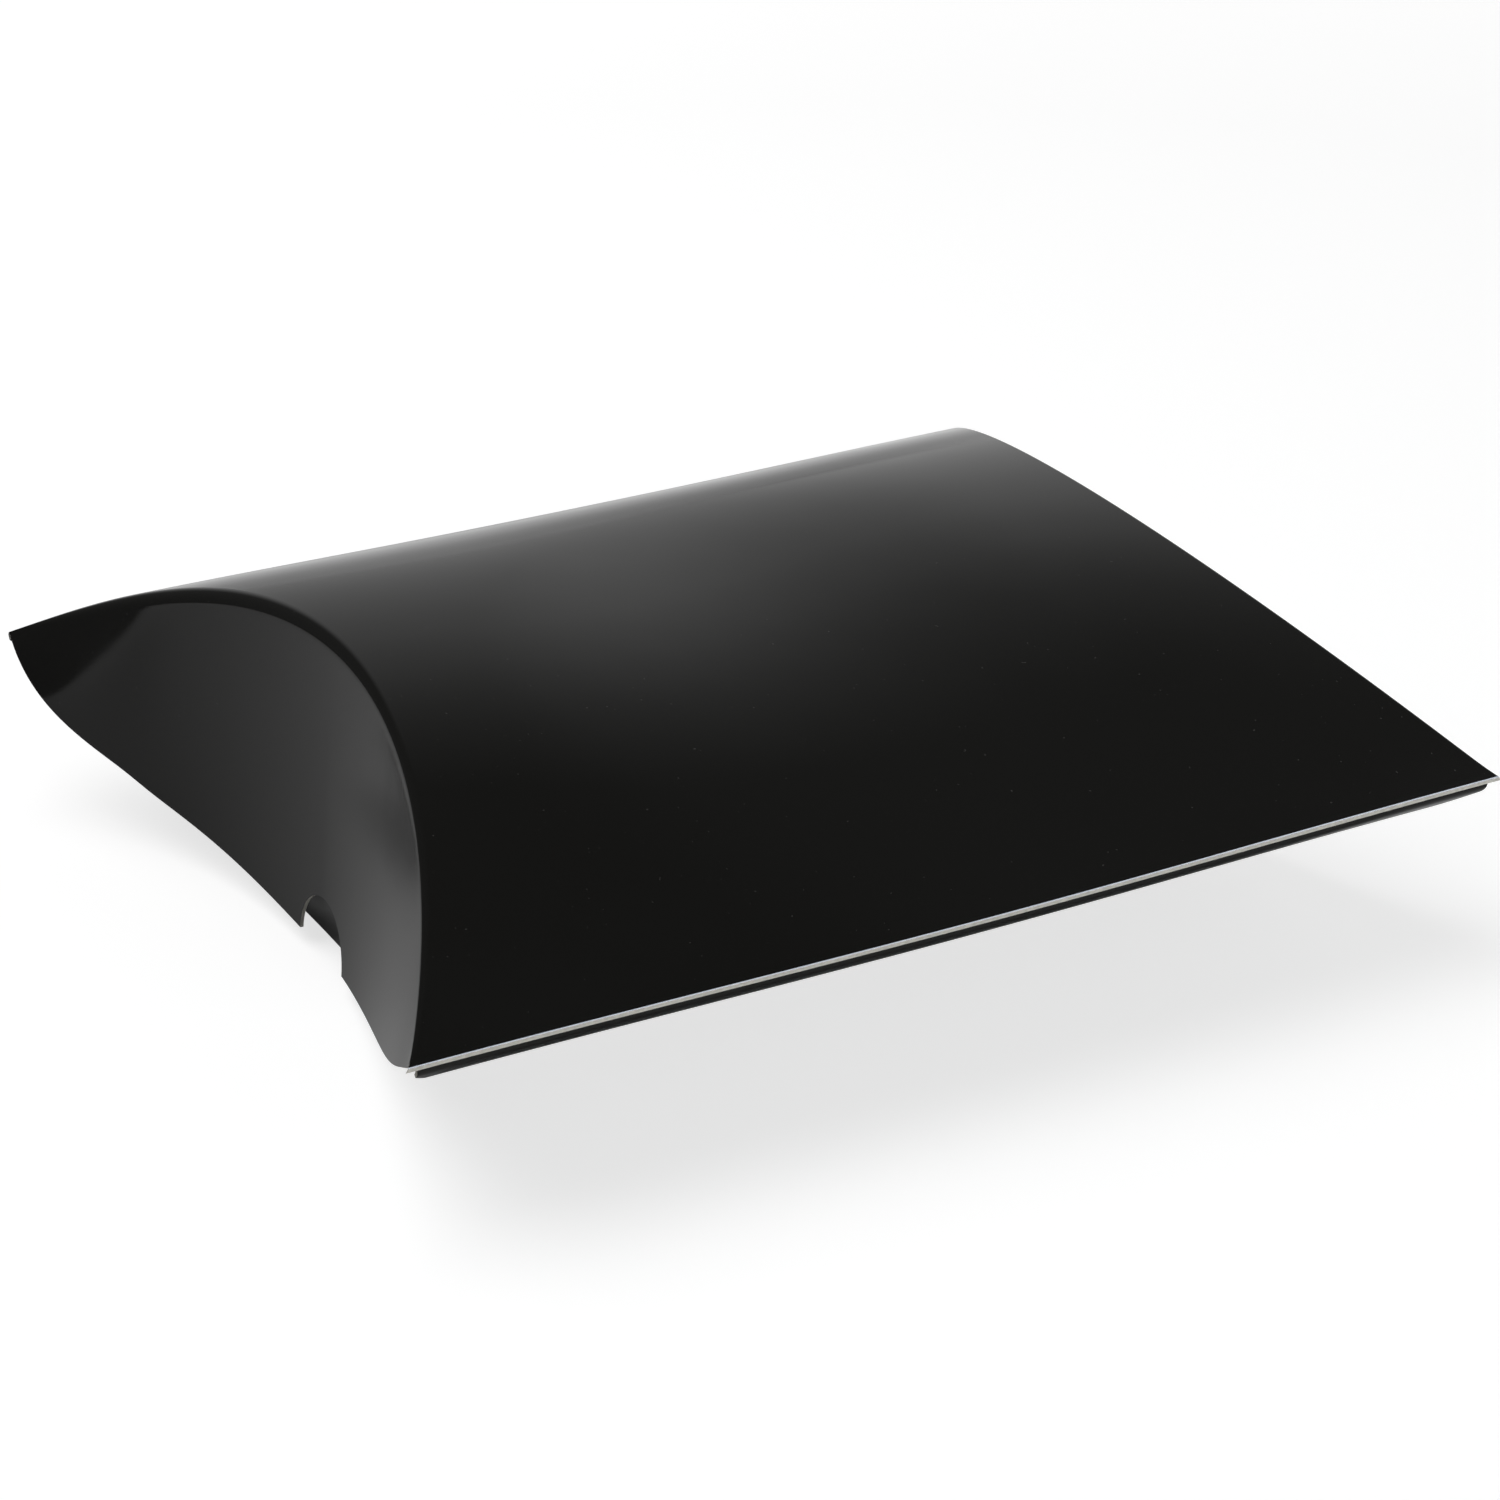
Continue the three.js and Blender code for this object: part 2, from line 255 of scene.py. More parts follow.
class PillowBoxStage(bpy.types.PropertyGroup):
    """Camera of the photograph and the studio's light."""

    camera_place: FloatVectorProperty(
        name="Camera place",
        description="Where the camera stands",
        default=(-0.21198, -0.39484, 0.23383),
        subtype="TRANSLATION",
        unit="LENGTH",
    )
    camera_aim: FloatVectorProperty(
        name="Camera aim",
        description="Direction of view",
        default=(0.4314, 0.7893, -0.4369),
        subtype="DIRECTION",
    )
    lens: number("Lens", 92.5, "Focal length in millimetres on a 36 mm frame")
    key_power: number("Key power", 7.0, "Power of the key lamp", unit="POWER")
    gleam_power: number("Gleam power", 18.0, "Power of the lamp that the front edge mirrors", unit="POWER")
    front_power: number("Front power", 2.8, "Power of the low lamp on the cut edge", unit="POWER")


def sizes():
    return bpy.context.scene.pillow_box_sizes


def finish():
    return bpy.context.scene.pillow_box_finish


# Shapes of the carton

# s runs from 0 at the left end to 1 at the right, and v from -1 at the front edge to 1 at the back.
# q runs over a crease from 0 to 1, and on along its flap from 1 to 2.


def arch(rise, half, y):
    """Circular arch over a chord of twice half: sqrt(radius^2 - y^2) less the centre's depth."""
    radius = (half**2 + rise**2) / (2 * rise)
    return np.sqrt(np.maximum(radius**2 - y**2, 0)) - (radius - rise)


def spring(s):
    """Share of the mid-length spring at s: sin(pi s) squared, with no slope at the creases."""
    return np.sin(np.pi * s) ** 2


def half_at(box, s):
    """Half the width at s, bowed out at mid-length."""
    return box.half_width + box.edge_bow * spring(s)


def top_inset(box, v):
    """Inset of the top crease at v, equal to the rise of the end arch above the long edges."""
    return arch(box.top_rise, box.half_width, v * box.half_width)


def bottom_depth(box, half, y):
    """Depth of the bottom panel below its edge: an arch cut flat along the rest strip."""
    return np.minimum(arch(box.bottom_edge + box.rest_flattening, half, y), box.bottom_edge)


def bottom_inset(box, v):
    """Inset of the bottom crease at v: a fixed share of its depth, so the crease lies in one plane."""
    return box.bottom_slant * bottom_depth(box, box.half_width, v * box.half_width)


def faded_radius(box, inset, opening):
    """Outer radius of a crease, closed at the corners: r (1 - exp(-inset / fade)), scaled by opening."""
    fade = box.crease_fade * opening
    return box.crease_radius * opening * (1 - np.exp(-np.maximum(inset, 0) / fade))


def top_radius(box, v, side):
    """Outer radius of a top crease: the left one opens steadily to the back, the right one is crisp."""
    if side > 0:
        opening = box.crisp_share
    else:
        opening = 1 + box.crease_opening * np.maximum(v - box.opening_start, 0)
    return faded_radius(box, top_inset(box, v), opening)


def bottom_radius(box, inset):
    """Outer radius of a bottom crease, as crisp as the right top one."""
    return faded_radius(box, inset, box.crisp_share)


def points(x, y, z):
    """Arrays of x, y and z as one array of points."""
    return np.stack(np.broadcast_arrays(x, y, z), axis=-1)


def panel_x(box, inset, left_radius, right_radius, s):
    """Straight run along X from the left roll to the right one."""
    left = inset + left_radius - box.length / 2
    right = box.length / 2 - inset - right_radius
    return left + (right - left) * s


def top_skin(box, s, v):
    """Outside of the top panel: the arch over (v half-width), lowered by the sag at mid-length."""
    half = half_at(box, s)
    level = box.top_edge + arch(box.top_rise - box.top_sag * spring(s), half, v * half)
    x = panel_x(box, top_inset(box, v), top_radius(box, v, -1), top_radius(box, v, 1), s)
    return points(x, v * half, level)


def pressed_top_skin(box, s, v):
    """The top panel's outside with its front margin rounded off by r (1 - sqrt(1 - reach^2))."""
    reach = np.clip(1 - (v + 1) * box.half_width / box.edge_round, 0, 1) * box.edge_turn
    drop = box.edge_round * (1 - np.sqrt(1 - reach**2))
    return top_skin(box, s, v) - points(0, 0, drop)


def square_cut(outer, inner):
    """The inner grid with its first column run on until it lies straight below the outer one."""
    run = inner[:, 0] - inner[:, 1]
    share = (outer[:, 0, 1] - inner[:, 0, 1]) / run[:, 1]
    inner[:, 0] += run * share[:, None]
    return inner


def bottom_skin(box, s, v):
    """Outside of the bottom panel: its edge level less the flattened arch."""
    half = half_at(box, s)
    inset = bottom_inset(box, v)
    radius = bottom_radius(box, inset)
    x = panel_x(box, inset, radius, radius, s)
    return points(x, v * half, box.bottom_edge - bottom_depth(box, half, v * half))


def roll(box, v, turn, inset, radius, level, side):
    """Circle of the crease's radius round a centre that follows the inset; side is 1 on top, -1 below."""
    x = inset - box.length / 2 + radius * (1 + np.cos(turn))
    return points(x, v * box.half_width, level - side * radius + radius * np.sin(turn))


def corner_share(box, v, fall):
    """Mean of a logistic step, from the crease to a share of the fall, across the line of the bend."""
    slope = box.bend_end - box.bend_start
    fall = np.maximum(fall, SMALLEST_FALL)
    at_crease = np.logaddexp(0, (v - box.bend_start) / box.bend_softness)
    at_fall = np.logaddexp(0, (v - box.bend_start - slope * fall) / box.bend_softness)
    return box.bend_softness * (at_crease - at_fall) / (slope * fall)


def outer_flap_lean(box, v, fall):
    """Lean of the line from the crease to a share of the fall.

    It is the lean at the middle, a flare that grows by a power of v to each end, and the corner bend,
    which leaves the free edge where it is.
    """
    front = box.front_flare * np.abs(v) ** box.front_curve
    back = box.back_flare * np.abs(v) ** box.back_curve
    bend = box.corner_bend * (corner_share(box, v, fall) - corner_share(box, v, 1))
    return box.flap_lean + np.where(v < 0, front, back) + bend


def outer_flap_fall(box, v, side):
    """Length of the outer flap below its roll, in step with its crease's inset but longer at the back."""
    growth = 1 + box.back_growth * np.maximum(v, 0) ** box.growth_curve
    return box.flap_depth * growth * top_inset(box, v) / box.top_rise - top_radius(box, v, side)


def outer_flap_skin(side):
    """Roll over the top crease for q from 0 to 1, then the flap's fall for q from 1 to 2."""

    def skin(box, v, q):
        inset = top_inset(box, v)
        turn = math.pi / 2 + (math.pi / 2 - outer_flap_lean(box, v, 0)) * np.minimum(q, 1)
        fall = np.maximum(q - 1, 0)
        lean = outer_flap_lean(box, v, fall)
        down = outer_flap_fall(box, v, side) * fall
        bend = roll(box, v, turn, inset, top_radius(box, v, side), box.top_edge + inset, 1)
        return bend - points(np.sin(lean) * down, 0, np.cos(lean) * down)

    return skin


def inner_flap_top(box, v):
    """Highest level at v from which the inner flap still swings in under the top panel."""
    pivot = box.crease_radius
    ceiling = box.top_edge + top_inset(box, v) - box.board - box.inner_flap_gap - pivot
    outset = bottom_inset(box, 0) - bottom_inset(box, v) + pivot
    return pivot + np.sqrt(np.maximum(ceiling**2 - outset**2, 0))


def inner_flap_rise(box, v):
    """Height of the inner flap above its roll."""
    inset = bottom_inset(box, v)
    crease = box.bottom_edge - inset / box.bottom_slant
    return inner_flap_top(box, v) - crease - bottom_radius(box, inset) * (1 + math.sin(box.inner_lean))


def inner_flap_skin(box, v, q):
    """Roll over the bottom crease for q from 0 to 1, then the flap's straight rise for q from 1 to 2."""
    inset = bottom_inset(box, v)
    turn = 1.5 * math.pi - (math.pi / 2 + box.inner_lean) * np.minimum(q, 1)
    up = inner_flap_rise(box, v) * np.maximum(q - 1, 0)
    level = box.bottom_edge - inset / box.bottom_slant
    bend = roll(box, v, turn, inset, bottom_radius(box, inset), level, -1)
    return bend + points(math.tan(box.inner_lean) * up, 0, up)


def inner_flap_reach(box):
    """Largest v at which the inner flap is still higher than its ends have to be."""
    v = np.linspace(0, box.crease_reach, REACH_TRIES)
    return v[inner_flap_rise(box, v) > box.inner_flap_tip].max()


def slope_along(skin, box, s, v):
    return skin(box, s + SLOPE_STEP, v) - skin(box, s - SLOPE_STEP, v)


def slope_across(skin, box, s, v):
    return skin(box, s, v + SLOPE_STEP) - skin(box, s, v - SLOPE_STEP)


def inward(skin, depth, turn):
    """The skin moved by depth against its normal, the cross product of its two slopes."""

    def moved(box, s, v):
        normal = np.cross(slope_along(skin, box, s, v), slope_across(skin, box, s, v))
        normal /= np.linalg.norm(normal, axis=-1, keepdims=True)
        return skin(box, s, v) - depth * turn * normal

    return moved


def meeting_point(start, slope, end, end_slope):
    """Where the line from start along slope meets the line from end along end_slope, in the YZ plane."""
    gap = end - start
    cross = slope[..., 1] * end_slope[..., 2] - slope[..., 2] * end_slope[..., 1]
    reach = (gap[..., 1] * end_slope[..., 2] - gap[..., 2] * end_slope[..., 1]) / cross
    corner = start + slope * reach[..., None]
    corner[..., 0] = start[..., 0]
    return corner


def edge_fold(first, first_v, second, second_v):
    """Quadratic Bezier from one skin's edge to another's, tangent to both, carried along the box."""

    def rolled(box, s, t):
        start, end = first(box, s, first_v), second(box, s, second_v)
        slope = slope_across(first, box, s, first_v)
        end_slope = slope_across(second, box, s, second_v)
        corner = meeting_point(start, slope, end, end_slope)
        t = t[..., None]
        return (1 - t) ** 2 * start + 2 * t * (1 - t) * corner + t**2 * end

    return rolled


def tab_layer(box, depth, margin, s, v):
    """The top panel's skin moved in by depth, its ends cut back by the taper and the margin."""
    taper = box.tab_taper * (v - box.tab_front) / (box.tab_back - box.tab_front)
    end = (top_inset(box, v) + taper + margin) / box.length
    return inward(top_skin, depth, 1)(box, end + (1 - 2 * end) * s, v)


# Rows and columns of the meshes


def grid(rows, columns):
    """Two grids of values, with a row for each of rows and a column for each of columns."""
    return np.meshgrid(rows, columns, indexing="ij")


def even(start, end, count):
    """Values from start to end in count equal steps."""
    return np.linspace(start, end, count + 1)


def pressed_columns(box):
    """Values of v: close together over the rounded front margin, then even to the back."""
    margin = -1 + box.edge_round / box.half_width * even(0, 1, box.around) ** 2
    return np.concatenate([margin, even(margin[-1], 1, box.across)[1:]])


def flap_columns(box):
    """Values of q: one set of steps round the roll, and one down the flap."""
    return np.concatenate([even(0, 1, box.around), even(1, 2, box.down)[1:]])


def notch_rows(box):
    """Values of v: evenly spread, but at equal angles round the notch's half circle."""
    centre = -box.notch_setoff / box.half_width
    notch = box.notch_radius / box.half_width
    front = np.linspace(-box.crease_reach, centre - notch, box.across // 2)
    arc = centre + notch * np.cos(even(math.pi, 0, box.notch_steps))
    back = np.linspace(centre + notch, box.crease_reach, box.across // 2)
    return np.concatenate([front, arc[1:-1], back])


def notched(box, v, q, side):
    """The values of q with those down the flap drawn up to the half circle of the notch."""
    bite = np.sqrt(np.maximum(box.notch_radius**2 - (v * box.half_width + box.notch_setoff) ** 2, 0))
    cut = 1 - bite / outer_flap_fall(box, v, side)
    return np.where(q > 1, 1 + (q - 1) * cut, q)


# Meshes


def grid_faces(rows, columns, first=0):
    """Quads of a grid of points numbered row by row from first."""
    corner = first + (np.arange(rows - 1)[:, None] * columns + np.arange(columns - 1)).ravel()
    return np.stack([corner, corner + columns, corner + columns + 1, corner + 1], axis=1)


def rim_faces(rows, columns):
    """Quads that close a board's four sides: first row, last row, first column, last column."""
    layer = rows * columns
    order = np.arange(layer).reshape(rows, columns)
    sides = (order[0], order[-1, ::-1], order[::-1, 0], order[:, -1])
    return [np.stack([a[:-1], a[1:], a[1:] + layer, a[:-1] + layer], axis=1) for a in sides]


def outward(corners, quads):
    """The quads, all turned round where the volume that they enclose comes out negative."""
    a, b, c, d = (corners[quads[:, i]] for i in range(4))
    volume = np.einsum("ij,ij->", a, np.cross(b, c)) + np.einsum("ij,ij->", a, np.cross(c, d))
    return quads[:, ::-1] if volume < 0 else quads


def in_frame(skin):
    """A grid's points as one list, moved along Y so that the front edge lies where the CAD's does."""
    box = sizes()
    shift = CAD_LOW[1] + box.half_width + box.edge_bow
    return skin.reshape(-1, 3) + (0, shift, 0)


def at_end(side, *skins):
    """Skins made for the left end, mirrored where side is that of the right end."""
    return [skin * np.array([-side, 1.0, 1.0]) for skin in skins]


def board_piece(name, skins, rim, materials):
    """Closed board between an outer and an inner grid of points; rim gives its sides' materials."""
    outer, inner = skins
    rows, columns = outer.shape[:2]
    front = grid_faces(rows, columns)
    back = grid_faces(rows, columns, rows * columns)[:, ::-1]
    faces = [front, back, *rim_faces(rows, columns)]
    corners = np.concatenate([in_frame(outer), in_frame(inner)])
    mesh = bpy.data.meshes.new(name)
    mesh.from_pydata(corners, [], outward(corners, np.concatenate(faces)))
    mesh.update()
    for material in materials:
        mesh.materials.append(material)
    places = [np.full(len(f), place, dtype=np.int32) for f, place in zip(faces, (FILM, INSIDE, *rim))]
    mesh.polygons.foreach_set("material_index", np.concatenate(places))
    mesh.shade_smooth()
    mesh.set_sharp_from_angle(angle=SHARP_ANGLE)
    piece = bpy.data.objects.new(name, mesh)
    bpy.context.scene.collection.objects.link(piece)
    return piece


# Nodes


def node_material(name, dress):
    """The material of that name; dress sets up its node tree and shader when it is first made."""
    material = bpy.data.materials.get(name)
    if material is None:
        material = bpy.data.materials.new(name)
        material.use_nodes = True
        tree = material.node_tree
        dress(tree, tree.nodes["Principled BSDF"])
    return material


def add(tree, kind, **values):
    """A node with its properties, or its input sockets, set by name."""
    node = tree.nodes.new(kind)
    for key, value in values.items():
        if key in node.inputs:
            node.inputs[key].default_value = value
        else:
            setattr(node, key, value)
    return node


def feed(tree, socket, source):
    """Gives a colour socket another node's output, or a fixed colour."""
    if isinstance(source, bpy.types.NodeSocket):
        tree.links.new(source, socket)
    else:
        socket.default_value = (*source, 1)


def place_and_parts(tree, kind):
    """A place on the object or a direction in the world, and its X, Y and Z."""
    place = add(tree, "ShaderNodeTexCoord").outputs[kind]
    split = add(tree, "ShaderNodeSeparateXYZ")
    tree.links.new(place, split.inputs["Vector"])
    return place, *split.outputs


def ray_is(tree, kind):
    """1 on rays of that kind, such as camera or glossy ones, and 0 on others."""
    return add(tree, "ShaderNodeLightPath").outputs[f"Is {kind} Ray"]


def object_noise(tree, scale, detail, roughness=0.5):
    """Noise on Object coordinates, in features per metre."""
    place = add(tree, "ShaderNodeTexCoord")
    noise = add(tree, "ShaderNodeTexNoise", Scale=scale, Detail=detail, Roughness=roughness)
    tree.links.new(place.outputs["Object"], noise.inputs["Vector"])
    return noise.outputs["Fac"]


def ramp(tree, value, given, wanted):
    """Value mapped from the given range to the wanted one, clamped."""
    node = add(tree, "ShaderNodeMapRange")
    for socket, limit in zip(("From Min", "From Max", "To Min", "To Max"), (*given, *wanted)):
        node.inputs[socket].default_value = limit
    tree.links.new(value, node.inputs["Value"])
    return node.outputs["Result"]


def levels(tree, value, stops):
    """Value mapped through stops of position and grey level."""
    node = add(tree, "ShaderNodeValToRGB")
    elements = node.color_ramp.elements
    while len(elements) < len(stops):
        elements.new(0.5)
    for element, (position, level) in zip(elements, stops):
        element.position = position
        element.color = (level, level, level, 1)
    tree.links.new(value, node.inputs["Fac"])
    return node.outputs["Color"]


def calculate(tree, operation, first, second):
    node = add(tree, "ShaderNodeMath", operation=operation)
    tree.links.new(first, node.inputs[0])
    tree.links.new(second, node.inputs[1])
    return node.outputs["Value"]


def product(tree, first, second):
    return calculate(tree, "MULTIPLY", first, second)


def total(tree, first, second):
    return calculate(tree, "ADD", first, second)


def mix_colour(tree, share, first, second):
    """Two colours, fixed or from other nodes, mixed by a share."""
    node = add(tree, "ShaderNodeMix", data_type="RGBA")
    feed(tree, node.inputs["A"], first)
    feed(tree, node.inputs["B"], second)
    tree.links.new(share, node.inputs["Factor"])
    return node.outputs["Result"]


def bump(tree, height, distance, strength, under=None):
    """Normal of a relief of that height, on top of the normal of another relief under it."""
    node = add(tree, "ShaderNodeBump", Distance=distance, Strength=strength)
    tree.links.new(height, node.inputs["Height"])
    if under:
        tree.links.new(under, node.inputs["Normal"])
    return node.outputs["Normal"]


# Materials


def dress_film(tree, shader):
    """Black print under a gloss film: fine haze in the gloss, slow ripples and a few dust specks."""
    look = finish()
    dust = ramp(tree, object_noise(tree, scale=2300, detail=0), given=(0.85, 0.89), wanted=(0, 1))
    tree.links.new(mix_colour(tree, dust, look.film, look.dust), shader.inputs["Base Color"])
    haze = object_noise(tree, scale=55, detail=4)
    gloss = (look.film_roughness - 0.03, look.film_roughness + 0.04)
    tree.links.new(ramp(tree, haze, given=(0.3, 0.7), wanted=gloss), shader.inputs["Roughness"])
    shader.inputs["IOR"].default_value = 1.5
    ripple = bump(tree, object_noise(tree, scale=38, detail=2), distance=0.001, strength=0.05)
    fibre = object_noise(tree, scale=2600, detail=2)
    relief = bump(tree, fibre, distance=0.0001, strength=0.03, under=ripple)
    tree.links.new(relief, shader.inputs["Normal"])


def dress_paper(tree, shader, tone, shade):
    """Uncoated board: fibre speckle in the colour, down to a shade of it, and a fine matt tooth."""
    fibre = object_noise(tree, scale=1500, detail=5, roughness=0.65)
    fleck = ramp(tree, fibre, given=(0.35, 0.7), wanted=(0, 1))
    darker = [shade * part for part in tone]
    tree.links.new(mix_colour(tree, fleck, darker, tone), shader.inputs["Base Color"])
    shader.inputs["Roughness"].default_value = 0.85
    tooth = bump(tree, object_noise(tree, scale=2200, detail=4), distance=0.0001, strength=0.25)
    tree.links.new(tooth, shader.inputs["Normal"])


def gloss_film():
    return node_material("gloss_black_film", dress_film)


def board_inside():
    return node_material("unprinted_board", partial(dress_paper, tone=finish().inside, shade=0.9))


def raw_edge():
    return node_material("raw_board_edge", partial(dress_paper, tone=finish().raw_edge, shade=0.78))


def seam_adhesive():
    return node_material("dried_seam_glue", partial(dress_paper, tone=finish().glue, shade=0.85))


# Pieces


def black_board(name, skins, rim):
    """A board with the film outside, the unprinted face inside and raw cut edges."""
    return board_piece(name, skins, rim, [gloss_film(), board_inside(), raw_edge()])


def on_carton(piece, node):
    """Keeps a piece on the carton's body, in the place of a node."""
    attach(piece, "carton")
    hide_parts(node)


def bending_flap(side, layer, skins):
    """A flap's board, built in its folded place over its crease, which takes the place of the CAD flap and
    crease.
    """
    name = f"{side}_{layer}"
    flap = black_board(f"{name}_flap_sheet", skins, FLAP_RIM)
    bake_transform(flap)
    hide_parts(f"{name}_flap", f"{name}_crease")


class CartonOperator:
    """Shared by every operator of the panel."""

    bl_options = {"REGISTER", "UNDO"}


class PILLOWBOX_OT_panels(CartonOperator, bpy.types.Operator):
    """Make the arched top and bottom panels"""

    bl_idname = "pillow_box.panels"
    bl_label = "Panels"

    def execute(self, context):
        box = sizes()
        s, v = grid(even(0, 1, box.along), pressed_columns(box))
        outer = pressed_top_skin(box, s, v)
        inner = square_cut(outer, inward(top_skin, box.board, 1)(box, s, v))
        on_carton(black_board("top_board", (outer, inner), TOP_RIM), "top_panel")
        s, v = grid(even(0, 1, box.along), even(box.bottom_front, 1, box.across))
        skins = (bottom_skin(box, s, v), inward(bottom_skin, box.board, -1)(box, s, v))
        on_carton(black_board("bottom_board", skins, PLAIN_RIM), "bottom_panel")
        return {"FINISHED"}


class PILLOWBOX_OT_folds(CartonOperator, bpy.types.Operator):
    """Make the rolled back edge and the rolled front edge under the seam"""

    bl_idname = "pillow_box.folds"
    bl_label = "Long folds"

    def execute(self, context):
        box = sizes()
        s, t = grid(even(0, 1, box.along), even(0, 1, box.around))
        top_inside = inward(top_skin, box.board, 1)
        bottom_inside = inward(bottom_skin, box.board, -1)
        outer = edge_fold(top_skin, 1, bottom_skin, 1)(box, s, t)
        inner = edge_fold(top_inside, 1, bottom_inside, 1)(box, s, t)
        on_carton(black_board("back_edge_fold", (outer, inner), PLAIN_RIM), "back_fold")
        tab = inward(top_skin, box.tab_depth, 1)
        tab_inside = inward(top_skin, box.tab_depth + box.board, 1)
        outer = edge_fold(tab, box.tab_front, bottom_skin, box.bottom_front)(box, s, t)
        inner = edge_fold(tab_inside, box.tab_front, bottom_inside, box.bottom_front)(box, s, t)
        on_carton(black_board("front_edge_fold", (outer, inner), FRONT_FOLD_RIM), "front_fold")
        return {"FINISHED"}


class PILLOWBOX_OT_seam(CartonOperator, bpy.types.Operator):
    """Make the glued tab inside the front edge"""

    bl_idname = "pillow_box.seam"
    bl_label = "Seam"

    def execute(self, context):
        box = sizes()
        s, v = grid(even(0, 1, box.along), even(box.tab_front, box.tab_back, box.around))
        depths = (box.tab_depth, box.tab_depth + box.board)
        skins = [tab_layer(box, depth, box.crease_radius, s, v) for depth in depths]
        on_carton(black_board("seam_tab_board", skins, FLAP_RIM), "seam_tab")
        margin = box.glue_margin / box.half_width
        s, v = grid(even(0, 1, box.along), even(box.tab_front + margin, box.tab_back - margin, box.around))
        depths = (box.board + box.glue_gap, box.board + box.glue_gap + box.glue)
        skins = [tab_layer(box, depth, box.crease_radius + box.glue_margin, s, v) for depth in depths]
        glue = board_piece("seam_glue_strip", skins, PLAIN_RIM, [seam_adhesive()] * 2)
        on_carton(glue, "seam_glue")
        return {"FINISHED"}


class PILLOWBOX_OT_outer_flaps(CartonOperator, bpy.types.Operator):
    """Make the two concave outer flaps with their curved creases and thumb notches"""

    bl_idname = "pillow_box.outer_flaps"
    bl_label = "Outer flaps"

    def execute(self, context):
        box = sizes()
        v, columns = grid(notch_rows(box), flap_columns(box))
        for name, side in ENDS.items():
            q = notched(box, v, columns, side)
            skin = outer_flap_skin(side)
            skins = at_end(side, skin(box, v, q), inward(skin, box.board, 1)(box, v, q))
            bending_flap(name, "outer", skins)
        return {"FINISHED"}


class PILLOWBOX_OT_inner_flaps(CartonOperator, bpy.types.Operator):
    """Make the two inner flaps with their curved creases"""

    bl_idname = "pillow_box.inner_flaps"
    bl_label = "Inner flaps"

    def execute(self, context):
        box = sizes()
        reach = inner_flap_reach(box)
        v, q = grid(even(-reach, reach, box.across), flap_columns(box))
        outer = inner_flap_skin(box, v, q)
        inner = inward(inner_flap_skin, box.board, -1)(box, v, q)
        for name, side in ENDS.items():
            skins = at_end(side, outer, inner)
            bending_flap(name, "inner", skins)
        return {"FINISHED"}


# Stage

# Half the side of the floor, in metres
FLOOR_HALF = 3.0
# Distance behind the box's middle in metres, and how bright the gloss sees the floor there
FLOOR_LEVELS = ((0.11, 0), (0.145, 0.38), (0.2, 0.26), (0.3, 0.14), (0.5, 0.14), (0.9, 0.29))
# Where that glow begins and is full along X
BEHIND_X = (-0.07, -0.03)
# The same for the glow at the back right, along a slanting direction and along Y, and its brightness
RIGHT_SLANT = (1, -0.55, 0)
RIGHT_DISTANCE = (-0.05, 0.1)
RIGHT_Y = (0.08, 0.12)
RIGHT_GLOW = 0.22
# The same for the strip under the box along X, the half widths between which it fades, and its brightness
STRIP_X = (-0.0595, -0.0575)
STRIP_HALF = (0.02, 0.03)
STRIP_GLOW = 0.09
# Distances from the box between which the floor turns white for the camera, and its glow at both
WHITE_DISTANCE = (0.35, 1.2)
WHITE_GLOW = (0.72, 1)
# Rise of a direction above the horizon, and the grey of the backdrop there
BACKDROP_LEVELS = ((0, 0.36), (0.1, 0.335), (0.42, 0.305), (0.56, 0.24), (0.7, 0.13), (0.82, 0.05))
# X of the directions between which the backdrop grows brighter to the right, and by how much
BRIGHTER_X = (0.415, 0.465)
BRIGHTER = (1, 1.65)
# X of the directions between which the dark left side gives way to the backdrop
DARK_X = (-0.02, 0.25)


def floor_glow(tree, place, x, y):
    """Glow that only the gloss sees: behind the box, to its back right, and a faint strip under it."""
    behind = product(tree, levels(tree, y, FLOOR_LEVELS), ramp(tree, x, BEHIND_X, (0, 1)))
    slanting = add(tree, "ShaderNodeVectorMath", operation="DOT_PRODUCT")
    slanting.inputs[1].default_value = RIGHT_SLANT
    tree.links.new(place, slanting.inputs[0])
    to_right = ramp(tree, slanting.outputs["Value"], RIGHT_DISTANCE, (0, RIGHT_GLOW))
    right = product(tree, to_right, ramp(tree, y, RIGHT_Y, (0, 1)))
    strip = ramp(tree, product(tree, y, y), [half**2 for half in STRIP_HALF], (1, 0))
    under = product(tree, ramp(tree, x, STRIP_X, (0, STRIP_GLOW)), strip)
    return product(tree, total(tree, total(tree, behind, right), under), ray_is(tree, "Glossy"))


def floor_white(tree, place):
    """Glow that only the camera sees, up to white far from the box."""
    distance = add(tree, "ShaderNodeVectorMath", operation="LENGTH")
    tree.links.new(place, distance.inputs[0])
    white = ramp(tree, distance.outputs["Value"], WHITE_DISTANCE, WHITE_GLOW)
    return product(tree, white, ray_is(tree, "Camera"))


def dress_floor(tree, shader):
    """Pale matt paper that takes the box's shadow and glows for the camera and in the gloss."""
    look = finish()
    feed(tree, shader.inputs["Base Color"], look.floor)
    feed(tree, shader.inputs["Emission Color"], look.glow)
    shader.inputs["Roughness"].default_value = 0.9
    shader.inputs["Specular IOR Level"].default_value = 0
    place, x, y, _ = place_and_parts(tree, "Object")
    glow = total(tree, floor_glow(tree, place, x, y), floor_white(tree, place))
    tree.links.new(glow, shader.inputs["Emission Strength"])


